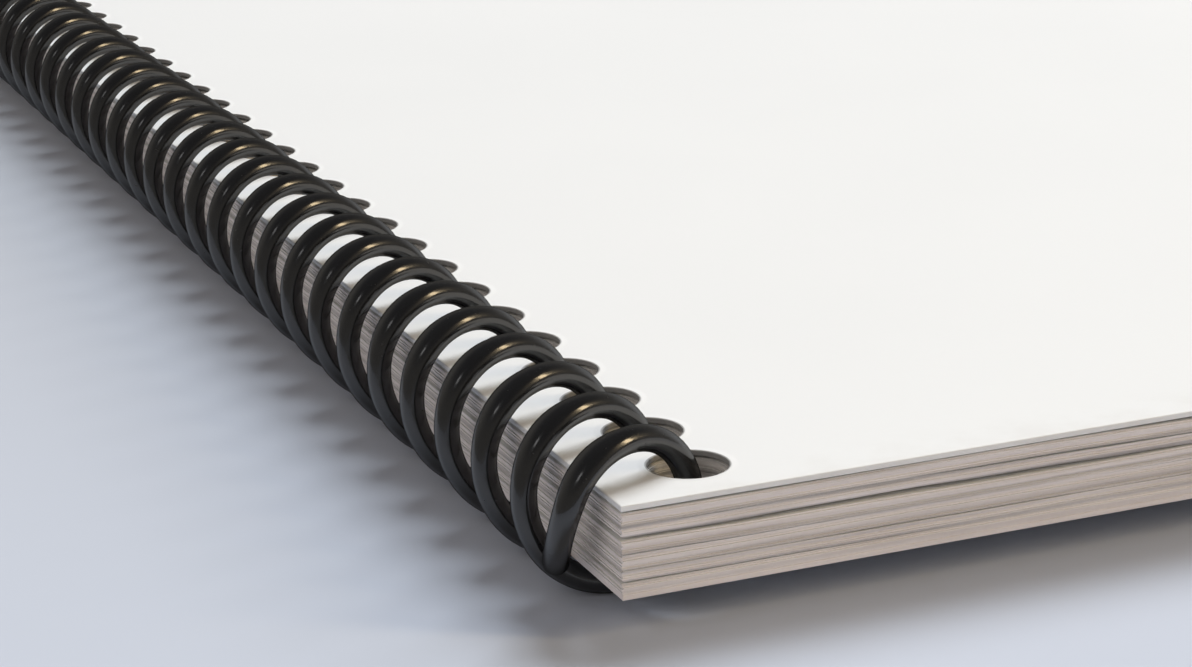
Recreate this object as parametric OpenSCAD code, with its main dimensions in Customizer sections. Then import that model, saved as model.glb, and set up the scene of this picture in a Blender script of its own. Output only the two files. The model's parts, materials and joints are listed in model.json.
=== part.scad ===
// A4 document bound along its long edge with a spiral coil.
// The page lies in X and Y, the coil runs along Y and the covers face up and down.

/* [Pages] */
// Width of a page, from the bound edge to the fore edge
page_w = 210; // [120:1:300]
// Length of the bound edge
page_l = 297; // [250:1:420]
// Thickness of one paper sheet
sheet_t = 0.1; // [0.08:0.01:0.14]
// Air left between one sheet and the next
sheet_air = 0.02; // [0.01:0.005:0.04]
// Thickness of each card cover
cover_t = 0.35; // [0.2:0.05:0.5]
// How far single sheets stand out of line at their edges
sheet_jog = 0.06; // [0:0.01:0.08]

/* [Punching] */
// Distance from one punched hole to the next
hole_pitch = 6.35; // [6:0.05:7]
// Diameter of a punched hole
hole_d = 4.7; // [4.6:0.05:5]
// Distance from the bound edge to the centres of the holes
hole_inset = 6.05; // [5.9:0.05:6.2]
// Distance from the near end of the page to the first hole
first_hole = 4.6; // [4:0.1:7]
// Number of holes, one for each turn of the coil
hole_count = 46; // [20:1:46]

/* [Coil] */
// Diameter of the plastic filament
filament_d = 1.55; // [1.2:0.05:1.6]
// Radius of each half turn, measured to the middle of the filament
turn_r = 4.72; // [4.6:0.02:4.8]
// Distance from the bound edge to the axis of the coil
coil_inset = 2.07; // [1.95:0.01:2.2]
// Height of the coil's axis over the underside of the back cover
coil_rise = 3.12; // [3.05:0.01:3.2]
// How far the coil's turns stand beyond the middles of the holes
coil_lead = 0.7; // [0.6:0.02:0.8]
// Radius of the crimp at each cut end of the coil
crimp_r = 2.4; // [2:0.1:3.2]
// Angle through which each cut end is bent over towards the next turn
crimp_angle = 60; // [40:1:70]

/* [Hidden] */
$fn = 48;
sheet_count = 40;
sheet_step = sheet_t + sheet_air;
first_sheet_z = cover_t + sheet_air;
front_cover_z = first_sheet_z + sheet_count * sheet_step;

// Each half turn lies in a plane that leans along the bound edge by a quarter pitch.
quarter_pitch = hole_pitch / 4;
turn_half_w = sqrt(turn_r * turn_r - quarter_pitch * quarter_pitch);
turn_lean = atan(quarter_pitch / turn_half_w);
ring_step = 0.01;
ring_h = 0.06;

// The origin is in the middle of the coil's and the page's outline, on the table.
coil_overhang = turn_half_w + filament_d / 2 - coil_inset;
page_x = (coil_overhang - page_w) / 2;
page_y = -page_l / 2;
page_z = turn_r + filament_d / 2 - coil_rise;
coil_x = page_x + coil_inset;
coil_y = page_y + first_hole + coil_lead;
coil_z = page_z + coil_rise;

function two_digits(i) = i < 10 ? str("0", i) : str(i);
function sheet_name(i) = str("sheet_", two_digits(i + 1));
// How far a sheet is out of line, across and along the bound edge.
function jog_x(i) = sheet_jog * sin(i * 137);
function jog_y(i) = sheet_jog * sin(i * 83 + 40);

// A page's outline with its row of punched holes, its corner at the near end of the bound edge.
module punched_outline() {
    difference() {
        square([page_w, page_l]);
        for (k = [0:hole_count - 1])
            translate([hole_inset, first_hole + k * hole_pitch])
                circle(d = hole_d);
    }
}

// A punched page of thickness t with its underside at height z over the back cover's underside.
module punched_page(t, z) {
    translate([page_x, page_y, page_z + z])
        linear_extrude(t)
            punched_outline();
}

module front_cover() {
    color("white")
        punched_page(cover_t, front_cover_z);
}

module back_cover() {
    color("whitesmoke")
        punched_page(cover_t, 0);
}

module sheet(i) {
    color("ivory")
        translate([jog_x(i), jog_y(i), 0])
            punched_page(sheet_t, first_sheet_z + i * sheet_step);
}

// A length of filament bent round radius r, from angle a0 through angle sweep.
module filament_arc(r, a0, sweep) {
    rotate([0, 0, a0])
        rotate_extrude(angle = sweep)
            translate([r, 0])
                circle(d = filament_d);
}

// Stands a bent length up in the plane of a half turn whose middle is at y.
module in_turn_plane(y, lean) {
    translate([0, y, 0])
        rotate([0, 0, lean])
            rotate([90, 0, 0])
                children();
}

// A fine ring round the joint where one half turn's filament passes into the next one's.
module joint_ring(x, y) {
    translate([x, y, 0])
        cylinder(d = filament_d + ring_step, h = ring_h, center = true);
}

// A cut end: the filament goes on down from the spine side of a turn and bends over towards the next turn.
module crimp() {
    translate([0, crimp_r, 0])
        rotate([90, 0, 90])
            filament_arc(crimp_r, 180, crimp_angle);
}

// The half turn that rises out of a hole and comes down outside the bound edge.
module upper_half_turn() {
    in_turn_plane(-quarter_pitch, turn_lean)
        filament_arc(turn_r, 0, 180);
}

// The half turn that passes under the back cover and up into a hole.
module lower_half_turn() {
    in_turn_plane(quarter_pitch, -turn_lean)
        filament_arc(turn_r, 180, 180);
}

// One turn: up out of its hole, over the bound edge, down, and the half turn that leads up to it.
module turn() {
    upper_half_turn();
    lower_half_turn();
    joint_ring(turn_half_w, 0);
    joint_ring(-turn_half_w, hole_pitch / 2);
}

// The near end is cut a little way down the spine side of the first turn.
module near_end() {
    joint_ring(-turn_half_w, -hole_pitch / 2);
    translate([-turn_half_w, -hole_pitch / 2, 0])
        crimp();
}

// The far end is cut a little way up the spine side, past the last lower half turn.
module far_end() {
    translate([-turn_half_w, hole_pitch / 2, 0])
        rotate([180, 0, 0])
            crimp();
}

module coil() {
    color("black")
        translate([coil_x, coil_y, coil_z]) {
            near_end();
            for (k = [0:hole_count - 1])
                translate([0, k * hole_pitch, 0])
                    turn();
            translate([0, (hole_count - 1) * hole_pitch, 0])
                far_end();
        }
}

coil();
back_cover();
front_cover();
for (i = [0:sheet_count - 1])
    sheet(i);
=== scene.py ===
import json
import math

import bpy
import numpy as np
from mathutils import Matrix, geometry


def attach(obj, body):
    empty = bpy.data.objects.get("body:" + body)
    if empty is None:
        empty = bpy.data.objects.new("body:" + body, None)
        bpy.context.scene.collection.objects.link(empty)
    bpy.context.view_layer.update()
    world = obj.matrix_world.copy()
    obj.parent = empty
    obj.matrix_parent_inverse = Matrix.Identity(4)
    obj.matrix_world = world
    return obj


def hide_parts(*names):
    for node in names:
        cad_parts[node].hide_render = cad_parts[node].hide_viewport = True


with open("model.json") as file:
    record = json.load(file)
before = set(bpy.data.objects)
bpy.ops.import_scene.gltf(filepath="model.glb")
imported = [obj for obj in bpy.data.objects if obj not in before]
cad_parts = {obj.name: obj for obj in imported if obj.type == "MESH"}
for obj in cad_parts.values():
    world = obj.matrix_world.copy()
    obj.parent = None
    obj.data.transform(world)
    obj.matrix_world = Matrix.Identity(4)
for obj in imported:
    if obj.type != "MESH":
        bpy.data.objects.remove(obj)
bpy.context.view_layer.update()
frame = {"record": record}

mm = 0.001

view = {
    "place": (-161.45 * mm, -286.61 * mm, 64.29 * mm),
    "yaw": 22.35,
    "pitch": 17.27,
    "roll": 1.23,
    "focal": 2959.0,
    "imageWidth": 1192.0,
    "sensor": 36.0,
}


def makeCamera():
    # forward is yaw from +Y towards +X and pitch downwards; roll turns right and down about forward
    yaw, pitch, roll = (math.radians(view[k]) for k in ("yaw", "pitch", "roll"))
    forward = np.array([math.sin(yaw) * math.cos(pitch), math.cos(yaw) * math.cos(pitch), -math.sin(pitch)])
    level = np.array([math.cos(yaw), -math.sin(yaw), 0.0])
    down = np.cross(forward, level)
    right = math.cos(roll) * level + math.sin(roll) * down
    down = -math.sin(roll) * level + math.cos(roll) * down
    data = bpy.data.cameras.new("camera")
    data.sensor_width = view["sensor"]
    data.lens = view["focal"] / view["imageWidth"] * view["sensor"]
    data.clip_start = 0.01
    data.clip_end = 20.0
    eye = bpy.data.objects.new("camera", data)
    bpy.context.scene.collection.objects.link(eye)
    rows = [(right[i], -down[i], -forward[i], view["place"][i]) for i in range(3)]
    eye.matrix_world = Matrix((*rows, (0, 0, 0, 1)))
    bpy.context.scene.camera = eye


makeCamera()
print("camera set")


class Wire:
    # a socket of one node tree: arithmetic on it adds a Math node
    def __init__(self, board, socket):
        self.board, self.socket = board, socket

    def __add__(self, other):
        return self.board.maths("ADD", self, other)

    def __sub__(self, other):
        return self.board.maths("SUBTRACT", self, other)

    def __rsub__(self, other):
        return self.board.maths("SUBTRACT", other, self)

    def __mul__(self, other):
        return self.board.maths("MULTIPLY", self, other)

    def __truediv__(self, other):
        return self.board.maths("DIVIDE", self, other)

    def __pow__(self, other):
        return self.board.maths("POWER", self, other)

    __radd__ = __add__
    __rmul__ = __mul__


class Board:
    # a node tree, and the nodes that every tree here uses
    def __init__(self, tree):
        self.tree = tree

    def node(self, kind, settings=None, inputs=None, output=0):
        made = self.tree.nodes.new(kind)
        for key, value in (settings or {}).items():
            setattr(made, key, value)
        for key, value in (inputs or {}).items():
            if isinstance(value, Wire):
                self.tree.links.new(value.socket, made.inputs[key])
            else:
                made.inputs[key].default_value = value
        return Wire(self, made.outputs[output])

    def maths(self, operation, a, b=0.0):
        return self.node("ShaderNodeMath", {"operation": operation}, {0: a, 1: b})

    def spot(self, space="Object", scale=(1.0, 1.0, 1.0)):
        # coordinates in metres, stretched by scale
        where = self.node("ShaderNodeTexCoord", output=space)
        return self.node("ShaderNodeMapping", inputs={"Vector": where, "Scale": scale})

    def parts(self, vector):
        split = self.node("ShaderNodeSeparateXYZ", inputs={"Vector": vector}).socket.node
        return [Wire(self, split.outputs[k]) for k in range(3)]

    def noise(self, spot, scale=1.0, detail=3.0, rough=0.5, twist=0.0):
        shape = {"Scale": scale, "Detail": detail, "Roughness": rough, "Distortion": twist}
        return self.node("ShaderNodeTexNoise", None, {"Vector": spot, **shape})

    def band(self, value, low, high):
        # 0 below low, 1 above high, smooth between
        return self.node("ShaderNodeMapRange", {"interpolation_type": "SMOOTHSTEP"},
                         {"Value": value, "From Min": low, "From Max": high})

    def mix(self, share, a, b):
        # between two colours, each a tuple or a wire
        tones = [(*tone, 1.0) if isinstance(tone, tuple) else tone for tone in (a, b)]
        inputs = {"Factor": share, 6: tones[0], 7: tones[1]}
        return self.node("ShaderNodeMix", {"data_type": "RGBA"}, inputs, output=2)

    def bump(self, height, distance, strength=1.0, under=None):
        inputs = {"Height": height, "Distance": distance, "Strength": strength}
        if under is not None:
            inputs["Normal"] = under
        return self.node("ShaderNodeBump", None, inputs)


class Paint(Board):
    # one material with its Principled shader; constants sit on the shader's own sockets
    def __init__(self, name, **constants):
        self.material = bpy.data.materials.new(name)
        self.material.use_nodes = True
        super().__init__(self.material.node_tree)
        self.shader = self.tree.nodes["Principled BSDF"]
        for socket, value in constants.items():
            self.shader.inputs[socket.replace("_", " ")].default_value = value

    def feed(self, **wires):
        for socket, wire in wires.items():
            self.tree.links.new(wire.socket, self.shader.inputs[socket.replace("_", " ")])
        return self.material


def meshFrom(name, points, faces, materials, smooth=True, uv=None, faceMaterials=None):
    # points is (n, 3); faces is (m, 3) or (m, 4), with -1 in the last column for a triangle
    mesh = bpy.data.meshes.new(name)
    sizes = (faces >= 0).sum(1)
    loops = faces[faces >= 0]
    starts = np.concatenate([[0], np.cumsum(sizes)[:-1]])
    mesh.vertices.add(len(points))
    mesh.vertices.foreach_set("co", np.ascontiguousarray(points, np.float32).ravel())
    mesh.loops.add(len(loops))
    mesh.loops.foreach_set("vertex_index", loops.astype(np.int32))
    mesh.polygons.add(len(sizes))
    mesh.polygons.foreach_set("loop_start", starts.astype(np.int32))
    mesh.polygons.foreach_set("use_smooth", np.full(len(sizes), smooth))
    if faceMaterials is not None:
        mesh.polygons.foreach_set("material_index", faceMaterials.astype(np.int32))
    if uv is not None:
        layer = mesh.uv_layers.new(name="UVMap")
        layer.data.foreach_set("uv", np.ascontiguousarray(uv, np.float32).ravel())
    mesh.update(calc_edges=True)
    mesh.validate()
    for material in materials:
        mesh.materials.append(material)
    made = bpy.data.objects.new(name, mesh)
    bpy.context.scene.collection.objects.link(made)
    return made


coil = {
    "pitch": 6.35 * mm,
    "radius": 4.72 * mm,
    "filament": 1.55 * mm,
    "turns": 46,
    "firstHole": 4.6 * mm,
    "lead": 0.7 * mm,  # how far the turns stand beyond the middles of the holes
    "inset": 2.07 * mm,  # the axis, in from the bound edge
    "rise": 3.12 * mm,  # the axis, over the back cover's underside
    "tail": 33.0,  # degrees that each cut end runs on
    "bendFrom": 30.0,  # degrees: the filament leans from here to its cut end
    "bendRate": 0.00065,
    "broad": 0.45,  # how far the filament is drawn out sideways, as a share of its width
    "broadAt": 48.0,  # degrees round the turn where it is broadest
    "broadSpan": 52.0,
    "stepsPerTurn": 72,
    "around": 20,
    "cutRound": 0.16 * mm,
    "cutRings": 5,
}
page = {
    "width": 210 * mm,
    "length": 297 * mm,
    "coverThick": 0.35 * mm,
    "sheetThick": 0.1 * mm,
    "air": 0.02 * mm,
    "sheets": 40,
    "holeAcross": 4.7 * mm,
    "holeInset": 6.05 * mm,
    "jog": 0.06 * mm,
}
quarter = coil["pitch"] / 4
halfWide = math.sqrt(coil["radius"] ** 2 - quarter ** 2)
pageX = (halfWide + coil["filament"] / 2 - coil["inset"] - page["width"]) / 2
pageY = -page["length"] / 2
pageZ = coil["radius"] + coil["filament"] / 2 - coil["rise"]
coilX = pageX + coil["inset"]
coilY = pageY + coil["firstHole"] + coil["lead"]
coilZ = pageZ + coil["rise"]


def coilLine():
    # x = -w cos a, z = r sin a. round the holes y steps by q (1 - cos) each half turn, as two leaning half
    # circles do, and outside the bound edge it rises evenly with a. share blends the two.
    # each cut end runs on by tail degrees, and leans towards the next turn by q rate (degrees beyond
    # bendFrom)^2
    tail, full = math.radians(coil["tail"]), 2 * math.pi * coil["turns"]
    a = np.linspace(-tail, full + tail, int(coil["turns"] * coil["stepsPerTurn"] * (1 + 2 * tail / full)) + 1)
    half = np.floor(a / math.pi)
    stepped = 2 * quarter * half + quarter * (1 - np.cos(a - math.pi * half))
    even = 2 * quarter * a / math.pi
    share = np.clip(np.cos(a) + 0.5, 0, 1)
    share = share * share * (3 - 2 * share)
    y = -2 * quarter + share * even + (1 - share) * stepped
    past = [np.clip(coil["bendFrom"] - np.degrees(turned), 0, None) for turned in (a, full - a)]
    y = y + quarter * coil["bendRate"] * (past[0] ** 2 - past[1] ** 2)
    line = np.stack([-halfWide * np.cos(a), y, coil["radius"] * np.sin(a)], 1)
    return line + np.array([coilX, coilY, coilZ]), a


def unit(vectors):
    return vectors / np.linalg.norm(vectors, axis=1)[:, None]


def tube(line, broad):
    # a circle carried along the line, its frame held by the direction away from the coil's axis, and drawn
    # out sideways by broad at each point.
    # each end narrows through a quarter circle of cutRound, and a fan closes it.
    # returns points, faces, uv in metres and which faces belong to the two cuts
    radius, around = coil["filament"] / 2, coil["around"]
    cutRound, rings = coil["cutRound"], coil["cutRings"]
    along = unit(np.gradient(line, axis=0))
    out = (line - np.array([coilX, 0, coilZ])) * np.array([1, 0, 1])
    out = unit(out - (out * along).sum(1)[:, None] * along)
    side = np.cross(along, out) * broad[:, None]
    length = np.concatenate([[0], np.cumsum(np.linalg.norm(np.diff(line, axis=0), axis=1))])
    ease = np.radians(np.linspace(90, 0, rings))
    inset, narrow = cutRound * (1 - np.sin(ease)), cutRound * (1 - np.cos(ease))
    clear = 1.2 * cutRound  # the body's rings start a little beyond the rounding
    body = (length > clear) & (length < length[-1] - clear)
    centre = np.concatenate([line[0] + inset[:, None] * along[0], line[body],
                             line[-1] - inset[::-1, None] * along[-1]])
    size = np.concatenate([radius - narrow, np.full(body.sum(), radius), radius - narrow[::-1]])
    dist = np.concatenate([inset, length[body], length[-1] - inset[::-1]])
    out, side = ([np.repeat(v[:1], rings, 0), v[body], np.repeat(v[-1:], rings, 0)] for v in (out, side))
    out, side = np.concatenate(out), np.concatenate(side)
    turn = np.linspace(0, 2 * math.pi, around, endpoint=False)[None, :, None]
    ring = np.cos(turn) * out[:, None] + np.sin(turn) * side[:, None]
    points = (centre[:, None] + size[:, None, None] * ring).reshape(-1, 3)
    bands, cutBands = len(centre) - 1, 2
    i, j = np.meshgrid(np.arange(bands), np.arange(around), indexing="ij")
    k = (j + 1) % around
    this, following = i * around, (i + 1) * around
    faces = np.stack([this + j, this + k, following + k, following + j], 2).reshape(-1, 4)
    arc = 2 * math.pi * radius / around
    uv = np.stack([np.stack([dist[i], dist[i], dist[i + 1], dist[i + 1]], 2),
                   np.stack([j, j + 1, j + 1, j], 2) * arc], 3).reshape(-1, 2)
    j, k, last, none = j[0], k[0], bands * around, np.full(around, -1)
    fans = np.concatenate([np.stack([none * 0 + len(points), k, j, none], 1),
                           np.stack([none * 0 + len(points) + 1, last + j, last + k, none], 1)])
    points = np.concatenate([points, centre[:1], centre[-1:]])
    isCut = np.concatenate([((i < cutBands) | (i >= bands - cutBands)).ravel(), np.full(len(fans), True)])
    return points, np.concatenate([faces, fans]), np.concatenate([uv, np.zeros((3 * len(fans), 2))]), isCut


plastic = {
    "deep": (0.0045, 0.0045, 0.0048),
    "light": (0.0095, 0.0094, 0.0098),
    "dust": (0.050, 0.048, 0.046),
    "matte": (0.008, 0.008, 0.008, 1.0),
    "matteTurned": (0.42, 0.86),
    "matteShare": 0.88,
    "cutDeep": (0.012, 0.012, 0.012),
    "cutPale": (0.040, 0.039, 0.038),
}


def blackPlastic():
    # polished PVC: fine draw lines along the filament, a soft orange peel and a little dust. its outline
    # stays dark: a matte black takes over as the surface turns away from the eye
    paint = Paint("blackPlastic", IOR=1.54, Coat_Weight=0.5, Coat_Roughness=0.09)
    spot = paint.spot()
    draw = paint.noise(paint.spot("UV", (1.0, 14.0, 1.0)), 260.0, 4.0, 0.6)
    peel = paint.noise(spot, 420.0, 3.0, 0.55)
    dust = paint.band(paint.noise(spot, 2600.0, 2.0, 0.5), 0.70, 0.80)
    tone = paint.mix(peel, plastic["deep"], plastic["light"])
    tone = paint.mix(dust * 0.3, tone, plastic["dust"])
    shine = 0.15 + 0.08 * peel + 0.05 * draw + 0.25 * dust
    skin = paint.bump(draw, 0.02 * mm, 0.35)
    made = paint.feed(Base_Color=tone, Roughness=shine, Normal=paint.bump(peel, 0.04 * mm, 0.25, skin))
    matte = paint.node("ShaderNodeBsdfDiffuse", None, {"Roughness": 1.0, "Color": plastic["matte"]})
    facing = paint.node("ShaderNodeLayerWeight", None, {"Blend": 0.5}, output="Facing")
    turned = paint.band(facing, *plastic["matteTurned"])
    gloss = Wire(paint, paint.shader.outputs["BSDF"])
    both = paint.node("ShaderNodeMixShader", None, {0: turned * plastic["matteShare"], 1: gloss, 2: matte})
    paint.tree.links.new(both.socket, paint.tree.nodes["Material Output"].inputs["Surface"])
    return made


def cutPlastic():
    # a sheared end is paler and rough, with fine lines across it
    paint = Paint("cutPlastic", IOR=1.54)
    shear = paint.noise(paint.spot("Object", (1.0, 1.0, 6.0)), 2200.0, 3.0, 0.6)
    tone = paint.mix(shear, plastic["cutDeep"], plastic["cutPale"])
    shine = 0.40 + 0.25 * shear
    return paint.feed(Base_Color=tone, Roughness=shine, Normal=paint.bump(shear, 0.05 * mm, 0.7))


def makeCoil():
    # the filament is drawn out sideways where it bends round the bound edge, by
    # broad (1 - ((a - broadAt) / broadSpan)^2)^2
    line, a = coilLine()
    apart = (np.degrees(a) + 180) % 360 - 180 - coil["broadAt"]
    broad = 1 + coil["broad"] * np.clip(1 - (apart / coil["broadSpan"]) ** 2, 0, None) ** 2
    points, faces, uv, isCut = tube(line, broad)
    finishes = [blackPlastic(), cutPlastic()]
    made = meshFrom("coilFilament", points, faces, finishes, True, uv, isCut.astype(int))
    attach(made, "document")
    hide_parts("coil")


makeCoil()
print("coil wound")


leaf = {
    "edgeSteps": 60,
    "edgeCrowd": 0.75,  # 0 spaces the points of an edge evenly
    "holeSteps": 24,
    "fieldColumns": (4.2 * mm, 8.5 * mm, 17 * mm, 34 * mm, 68 * mm, 110 * mm, 152 * mm),
    "fieldStep": 3.175 * mm,
    "fieldCoarsest": 4,
    "gapSeed": 7,
    "waveSeed": 100,
    "waves": (8 * mm, 13.6 * mm, 24.6 * mm, 41 * mm, 77.9 * mm, 127.1 * mm),
    "waveUnit": 41 * mm,
    "waveSum": 3.2,
    "waveDepth": 0.9,
    "leastShare": 0.1,
    "tight": (0.12, 0.36),
    # the loose gaps, counted from the back cover: each one's share of the air and how dark the painted shade
    # of its gap is
    "loose": {
        6: (2.6, 0.34),
        12: (3.6, 0.36),
        20: (3.4, 0.40),
        27: (6.5, 0.60),
        33: (4.0, 0.52),
        40: (5.0, 0.42),
    },
}


def pageLoops():
    # the page's outline and its holes, as loops of points with the outward direction of each point.
    # points sit closer together towards each corner: t - crowd sin(2 pi t) / (2 pi)
    w, l, n = page["width"], page["length"], leaf["edgeSteps"]
    t = np.arange(n) / n
    t = t - leaf["edgeCrowd"] * np.sin(2 * math.pi * t) / (2 * math.pi)
    corners = np.array([[0, 0], [w, 0], [w, l], [0, l]])
    ways = np.array([[0, -1], [1, 0], [0, 1], [-1, 0]], float)
    rim = np.concatenate([corners[i] + t[:, None] * (corners[(i + 1) % 4] - corners[i]) for i in range(4)])
    push = np.repeat(ways, n, 0)
    push[::n] += np.roll(ways, 1, 0)
    turn = np.linspace(0, -2 * math.pi, leaf["holeSteps"], endpoint=False)
    spoke = np.stack([np.cos(turn), np.sin(turn)], 1)
    rows = coil["firstHole"] + coil["pitch"] * np.arange(coil["turns"])
    holes = [np.array([page["holeInset"], y]) + page["holeAcross"] / 2 * spoke for y in rows]
    return [rim] + holes, [push] + [-spoke] * len(holes)


def fieldPoints():
    # columns of points beyond the holes, each twice as widely spaced as the last, up to 2^coarsest
    columns = []
    for k, out in enumerate(leaf["fieldColumns"]):
        count = int(page["length"] / (leaf["fieldStep"] * 2 ** min(k, leaf["fieldCoarsest"])))
        y = (np.arange(count) + 0.5) * page["length"] / count
        columns.append(np.stack([np.full(count, page["holeInset"] + out), y], 1))
    return np.concatenate(columns)


def flatTriangles(points, rims, holes):
    # a Delaunay net over the page, less the triangles inside the holes; every triangle faces up
    perMetre, nearness = 1000.0, 1e-6  # the net is worked out in millimetres
    spots = [tuple(p) for p in points * perMetre]
    found = geometry.delaunay_2d_cdt(spots, rims.tolist(), [], 0, nearness)
    back = np.array([kept[0] for kept in found[3]])
    net = back[np.array(found[2])]
    corner = points[net]
    area = np.cross(corner[:, 1] - corner[:, 0], corner[:, 2] - corner[:, 0])
    middle = corner.mean(1)
    apart = np.linalg.norm(middle[:, None] - holes[None], axis=2).min(1)
    withinHole, sliver = 0.98 * page["holeAcross"] / 2, 1e-13  # metres, and twice an area in square metres
    keep = (apart > withinHole) & (np.abs(area) > sliver)
    net[area < 0] = net[area < 0][:, ::-1]
    return net[keep]


loops, pushes = pageLoops()
field = fieldPoints()
flat = np.concatenate(loops + [field])
outward = np.concatenate(pushes + [np.zeros_like(field)])
sizes = np.array([len(loop) for loop in loops])
starts = np.cumsum(sizes) - sizes
here = np.arange(sizes.sum())
ahead = np.concatenate([start + (np.arange(size) + 1) % size for start, size in zip(starts, sizes)])
flatFaces = flatTriangles(flat, np.stack([here, ahead], 1), np.array([loop.mean(0) for loop in loops[1:]]))


def slab(name, profile, heights, shift, materials):
    # the outline is drawn in by profile[i] at each level i, and heights[i] is the z of every point there:
    # walls join the levels, and the flat triangles close the first and last. walls take the second material
    # on the page's rim and the third in its holes
    count, rim = len(flat), sizes[0]
    levels = []
    for drawIn, z in zip(profile, heights):
        xy = flat - drawIn * outward + np.array([pageX + shift[0], pageY + shift[1]])
        levels.append(np.concatenate([xy, z[:, None]], 1))
    step = np.arange(len(profile) - 1)[:, None] * count
    walls = np.stack([step + here, step + ahead, step + count + ahead, step + count + here], 2).reshape(-1, 4)
    blank = np.full((len(flatFaces), 1), -1)
    top = np.concatenate([flatFaces + (len(profile) - 1) * count, blank], 1)
    bottom = np.concatenate([flatFaces[:, ::-1], blank], 1)
    which = np.concatenate([np.tile(np.where(here < rim, 1, 2), len(step)), np.zeros(2 * len(flatFaces))])
    points = np.concatenate(levels)
    faces = np.concatenate([walls, top, bottom])
    if len(profile) > 2:  # inner levels of the field carry no face
        used = np.unique(faces[faces >= 0])
        renumber = np.full(len(points), -1)
        renumber[used] = np.arange(len(used))
        points, faces = points[used], np.where(faces < 0, -1, renumber[faces])
    return meshFrom(name, points, faces, materials, False, None, which)


def softWave(x, y, seed):
    # a sum of sine waves, each in its own direction and weighted by the root of its length, brought to
    # between about -1 and 1
    pick = np.random.default_rng(seed)
    total = np.zeros(len(x))
    for length in leaf["waves"]:
        way, start = pick.uniform(0, 2 * math.pi, 2)
        weight = (length / leaf["waveUnit"]) ** 0.5
        total += weight * np.sin(2 * math.pi * (x * math.cos(way) + y * math.sin(way)) / length + start)
    return total / leaf["waveSum"]


def airGaps():
    # the air between neighbours: most sheets lie close, and a few loose gaps take most of the room.
    # each gap's share swells and shrinks along the edges, and all shares add up to the air there is
    pick = np.random.default_rng(leaf["gapSeed"])
    count = page["sheets"] + 1
    weight = pick.uniform(*leaf["tight"], count)
    for gap, (wide, _) in leaf["loose"].items():
        weight[gap] = wide
    waves = np.stack([softWave(flat[:, 0], flat[:, 1], leaf["waveSeed"] + i) for i in range(count)])
    share = weight[:, None] * np.clip(1 + leaf["waveDepth"] * waves, leaf["leastShare"], None)
    return share / share.sum(0) * (page["air"] * count)


paper = {
    "dull": (0.80, 0.785, 0.755),
    "pale": (0.87, 0.86, 0.835),
    # the cut edges: pale, dull and dark
    "rim": ((0.90, 0.83, 0.82), (0.79, 0.715, 0.70), (0.52, 0.47, 0.45)),
    "punched": ((0.82, 0.79, 0.76), (0.70, 0.66, 0.64), (0.45, 0.42, 0.41)),
    # painted shade in the loose gaps between bundles, and how far it spreads above and below each gap
    "gapShade": (0.10, 0.085, 0.085),
    "gapShadeHalf": (0.02 * mm, 0.26 * mm),
    "chopped": (0.88, 0.85, 0.82),
    "wander": 0.5 * mm,
}


def paperFace():
    # office paper: fine fibres, faint clouds and a slight warm cast
    paint = Paint("paperFace", IOR=1.45)
    fibre = paint.noise(paint.spot(), 3200.0, 4.0, 0.65)
    cloud = paint.noise(paint.spot(), 60.0, 3.0, 0.5)
    tone = paint.mix(fibre * 0.6 + cloud * 0.4, paper["dull"], paper["pale"])
    shine = 0.72 + 0.16 * fibre
    return paint.feed(Base_Color=tone, Roughness=shine, Normal=paint.bump(fibre, 0.02 * mm, 0.5))


def layered(paint, place, along, up, detail):
    # noise drawn out along the edge: its cells are about 1 / along metres long and 1 / up metres high
    x, y, height = place
    spot = paint.node("ShaderNodeCombineXYZ", None, {0: x * along, 1: y * along, 2: height * up})
    return paint.noise(spot, 1.0, detail, 0.55)


def paperEdge(name, pale, dull, dark):
    # the cut edge of a ream: bundles of sheets take their own tone in long waves, single sheets differ a
    # little, and the knife leaves fine chop marks
    paint = Paint(name, IOR=1.4)
    slow = paint.noise(paint.spot(), 90.0, 2.0, 0.5)
    x, y, z = paint.parts(paint.spot())
    place = x, y, z + slow * paper["wander"]
    bundle = layered(paint, place, 60.0, 1000.0, 2.0)
    sheet = layered(paint, place, 45.0, 6000.0, 2.0)
    chop = layered(paint, place, 1400.0, 5200.0, 3.0)
    tone = paint.mix(paint.band(bundle, 0.30, 0.62), dull, pale)
    tone = paint.mix(paint.band(sheet, 0.45, 0.75) * 0.22, tone, dark)
    # painted shade: a soft dark line where each loose gap parts two bundles, standing in for the shade in the
    # gap, deeper in some places than in others. it is raised by half the wander, which lifts the place by as
    # much on average
    swell = 0.55 + 0.9 * slow
    for gap, (_, depth) in leaf["loose"].items():
        level = pageZ + page["coverThick"] + gap * (page["sheetThick"] + page["air"])
        apart = paint.maths("ABSOLUTE", place[2] - (level + paper["wander"] / 2))
        gapShade = 1 - paint.band(apart, *paper["gapShadeHalf"])
        tone = paint.mix(gapShade * swell * depth, tone, paper["gapShade"])
    tone = paint.mix(chop * 0.22, tone, paper["chopped"])
    shine = 0.80 + 0.12 * chop
    return paint.feed(Base_Color=tone, Roughness=shine, Normal=paint.bump(chop, 0.03 * mm, 0.5))


card = {
    # the front and the back: name, node and how soiled the border is
    "covers": (("frontCover", "front_cover", 0.22), ("backCover", "back_cover", 0.35)),
    "round": 0.07 * mm,
    "dull": (0.865, 0.868, 0.878),
    "pale": (0.895, 0.895, 0.90),
    "pressed": (0.60, 0.59, 0.59),
    # painted shade: a thin dark line just round the rim of each hole
    "holeRimShade": (0.20, 0.195, 0.19),
    "handled": (0.66, 0.63, 0.60),
    "pressedOut": 0.55 * mm,
    # how far the painted shade reaches out from each hole's rim
    "holeRimShadeOut": (0.04 * mm, 0.15 * mm),
    "border": 5.0 * mm,
}


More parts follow.
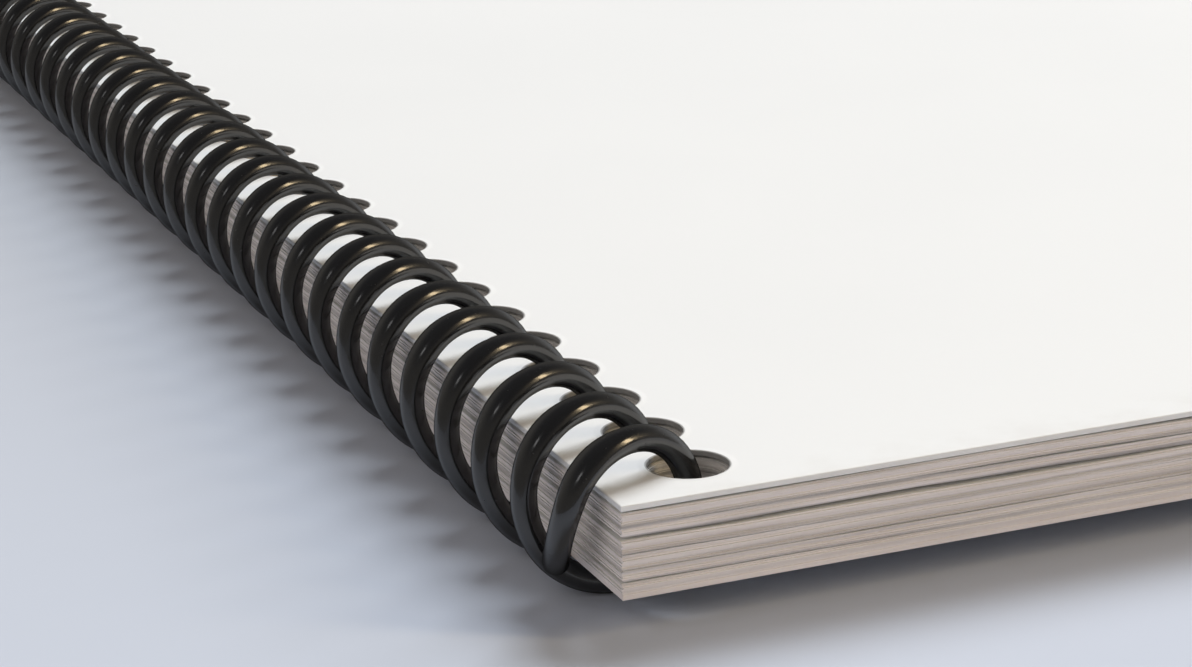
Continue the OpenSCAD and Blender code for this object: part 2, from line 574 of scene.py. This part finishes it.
def coverCard(name, soil):
    # coated white card: faint fibre clouds, a pressed ring and a thin line of painted shade at the rim of
    # every hole, and a dull, handled border
    paint = Paint(name, IOR=1.3, Coat_Roughness=0.35)
    x, y = paint.parts(paint.spot())[:2]
    # distance to the nearest hole: the row repeats each pitch along y
    alongRow = (y - (pageY + coil["firstHole"])) / coil["pitch"]
    nearest = paint.maths("MAXIMUM", paint.maths("ROUND", alongRow), 0.0)
    nearest = paint.maths("MINIMUM", nearest, coil["turns"] - 1.0)
    dy = (alongRow - nearest) * coil["pitch"]
    dx = x - (pageX + page["holeInset"])
    ringAt = (dx * dx + dy * dy) ** 0.5 - page["holeAcross"] / 2
    pressed = 1 - paint.band(ringAt, 0.0, card["pressedOut"])
    # painted shade just round the rim of each hole
    holeRimShade = 1 - paint.band(ringAt, *card["holeRimShadeOut"])
    # distance in from the nearest edge
    fromX = page["width"] / 2 - paint.maths("ABSOLUTE", x - (pageX + page["width"] / 2))
    fromY = page["length"] / 2 - paint.maths("ABSOLUTE", y)
    rimIn = paint.maths("MINIMUM", fromX, fromY)
    fibre = paint.noise(paint.spot(), 1900.0, 4.0, 0.62)
    cloud = paint.noise(paint.spot(), 38.0, 4.0, 0.55, 0.3)
    border = 1 - paint.band(rimIn, 0.0, card["border"])
    handled = border * paint.band(paint.noise(paint.spot(), 210.0, 3.0, 0.6), 0.42, 0.75)
    tone = paint.mix(fibre * 0.35 + cloud * 0.65, card["dull"], card["pale"])
    tone = paint.mix(pressed * 0.12, tone, card["pressed"])
    tone = paint.mix(holeRimShade * 0.75, tone, card["holeRimShade"])
    tone = paint.mix(handled * soil, tone, card["handled"])
    shine = 0.46 + 0.14 * cloud + 0.10 * handled + 0.12 * pressed
    relief = paint.bump(fibre, 0.02 * mm, 0.35)
    relief = paint.bump(pressed, 0.06 * mm, 0.8, relief)
    return paint.feed(Base_Color=tone, Roughness=shine, Coat_Weight=0.02 + 0.06 * cloud, Normal=relief)


bodies = {node: body for body, nodes in frame["record"]["behaviour"]["bodies"].items() for node in nodes}


def sheetJog(i):
    # no stack is quite even: sheet i lies off by jog (sin 137 i, sin (83 i + 40)), in degrees
    return tuple(page["jog"] * math.sin(math.radians(turned)) for turned in (i * 137, i * 83 + 40))


def makeSheets(edge):
    finishes = [paperFace(), edge, paperEdge("punchedEdge", *paper["punched"])]
    base = pageZ + page["coverThick"] + np.cumsum(airGaps(), 0)
    for i in range(page["sheets"]):
        low = base[i] + i * page["sheetThick"]
        heights = (low, low + page["sheetThick"])
        node = "sheet_%02d" % (i + 1)
        made = slab("leaf_%02d" % (i + 1), (0.0, 0.0), heights, sheetJog(i), finishes)
        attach(made, bodies[node])
        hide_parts(node)


def makeCovers(edge):
    # the rim is rounded by a quarter circle in two steps, the first r (1 - cos 45), which is about 0.3 r.
    # the back cover's rim is cut with the sheets, so it looks as they do
    r, thick = card["round"], page["coverThick"]
    step = 0.3 * r
    profile = (r, step, 0.0, 0.0, step, r)
    rise = np.array([0.0, step, r, thick - r, thick - step, thick])
    top = pageZ + thick + page["air"] + page["sheets"] * (page["sheetThick"] + page["air"])
    lows = {"front_cover": top, "back_cover": pageZ}
    for name, node, soil in card["covers"]:
        finish = coverCard(name + "Card", soil)
        heights = [np.full(len(flat), lows[node] + up) for up in rise]
        rim = finish if node == "front_cover" else edge
        made = slab(name, profile, heights, (0.0, 0.0), [finish, rim, finish])
        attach(made, bodies[node])
        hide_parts(node)


rimEdge = paperEdge("paperEdge", *paper["rim"])
makeSheets(rimEdge)
makeCovers(rimEdge)
print("leaves stacked")


room = {
    "floorSize": 3.0,
    "floorCells": 8,
    "lowTone": (0.245, 0.232, 0.215),
    "highTone": (0.10, 0.10, 0.105),
    "lowEdge": 0.30,
    "highEdge": 0.85,
    "paleAngle": 30.0,
    "paleSide": (0.78, 0.96),
    "paleTop": (0.08, 0.50),
    "paleTone": (0.76, 0.77, 0.78),
    "backdrop": (0.80, 0.84, 0.90),
    # painted light: the table brighter and bluer near the eye, darker and greyer further off
    "floorNearLit": (0.635, 0.695, 0.835),
    "floorFarDim": (0.60, 0.625, 0.69),
    "floorFade": (0.0, 0.32),
    "floorCloud": (0.9, 0.9, 0.9),
}
lamps = {
    # name: place, target, width, height, watts, colour, seen in gloss
    "windowKey": ((0.97, 0.97, 1.84), (-0.05, -0.05, 0.0), 1.40, 1.40, 52.5, (0.92, 0.97, 1.0), False),
    "lowWindow": ((1.70, 0.69, 0.90), (-0.10, -0.10, 0.0), 0.47, 0.47, 10.0, (1.0, 0.99, 0.97), False),
    "leftFill": ((-0.75, -0.55, 0.55), (-0.10, -0.12, 0.0), 0.80, 0.80, 1.8, (1.0, 0.90, 0.81), False),
    "warmLamp": ((0.66, -0.64, 0.53), (-0.10, -0.14, 0.0), 0.13, 0.46, 3.0, (1.0, 0.78, 0.48), True),
    "smallSpark": ((-0.72, -0.28, 0.78), (-0.10, -0.14, 0.0), 0.17, 0.17, 0.20, (1.0, 1.0, 1.0), True),
}


def makeFloor():
    # a grid of table top at z = 0
    n = room["floorCells"] + 1
    x, y = np.meshgrid(np.linspace(-0.5, 0.5, n), np.linspace(-0.5, 0.5, n), indexing="ij")
    points = np.stack([x.ravel(), y.ravel(), np.zeros(n * n)], 1) * room["floorSize"]
    i, j = np.meshgrid(np.arange(n - 1), np.arange(n - 1), indexing="ij")
    faces = np.stack([i * n + j, (i + 1) * n + j, (i + 1) * n + j + 1, i * n + j + 1], 2).reshape(-1, 4)
    paint = Paint("tableTop", IOR=1.45, Roughness=0.42)
    # painted light: the table is a little brighter and bluer towards the eye and darker and greyer towards
    # the document, measured along the direction that the eye looks in
    x, y = paint.parts(paint.spot())[:2]
    yaw = math.radians(view["yaw"])
    paintedLight = paint.band(0.0 - (x * math.sin(yaw) + y * math.cos(yaw)), *room["floorFade"])
    tone = paint.mix(paintedLight, room["floorFarDim"], room["floorNearLit"])
    tone = paint.mix(paint.noise(paint.spot(), 6.0, 2.0, 0.5) * 0.05, tone, room["floorCloud"])
    meshFrom("tableTop", points, faces, [paint.feed(Base_Color=tone)], False)


def makeLamps():
    for name, (place, target, wide, high, watts, colour, inGloss) in lamps.items():
        data = bpy.data.lights.new(name, "AREA")
        data.shape = "RECTANGLE"
        data.size, data.size_y = wide, high
        data.energy, data.color = watts, colour
        lamp = bpy.data.objects.new(name, data)
        lamp.visible_glossy = inGloss
        bpy.context.scene.collection.objects.link(lamp)
        back = np.array(place) - np.array(target)
        back /= np.linalg.norm(back)
        side = np.cross((0, 0, 1), back)
        side /= np.linalg.norm(side)
        up = np.cross(back, side)
        rows = [(side[k], up[k], back[k], place[k]) for k in range(3)]
        lamp.matrix_world = Matrix((*rows, (0, 0, 0, 1)))


def makeWorld():
    # dim walls up to lowEdge, fading to a dark ceiling by highEdge, and a pale wall low down on one side, at
    # paleAngle from +X; the camera itself sees the backdrop
    world = bpy.data.worlds.new("room")
    world.use_nodes = True
    board = Board(world.node_tree)
    x, y, rise = board.parts(board.node("ShaderNodeTexCoord", output="Generated"))
    tone = board.mix(board.band(rise, room["lowEdge"], room["highEdge"]), room["lowTone"], room["highTone"])
    angle = math.radians(room["paleAngle"])
    side = board.band(x * math.cos(angle) + y * math.sin(angle), *room["paleSide"])
    low = 1 - board.band(rise, *room["paleTop"])
    tone = board.mix(side * low, tone, room["paleTone"])
    seen = board.node("ShaderNodeLightPath", output="Is Camera Ray")
    shown = board.mix(seen, tone, room["backdrop"])
    board.tree.links.new(shown.socket, board.tree.nodes["Background"].inputs["Color"])
    bpy.context.scene.world = world


makeFloor()
makeLamps()
makeWorld()
bpy.context.scene.view_settings.view_transform = "Standard"
print("floor and lamps set")
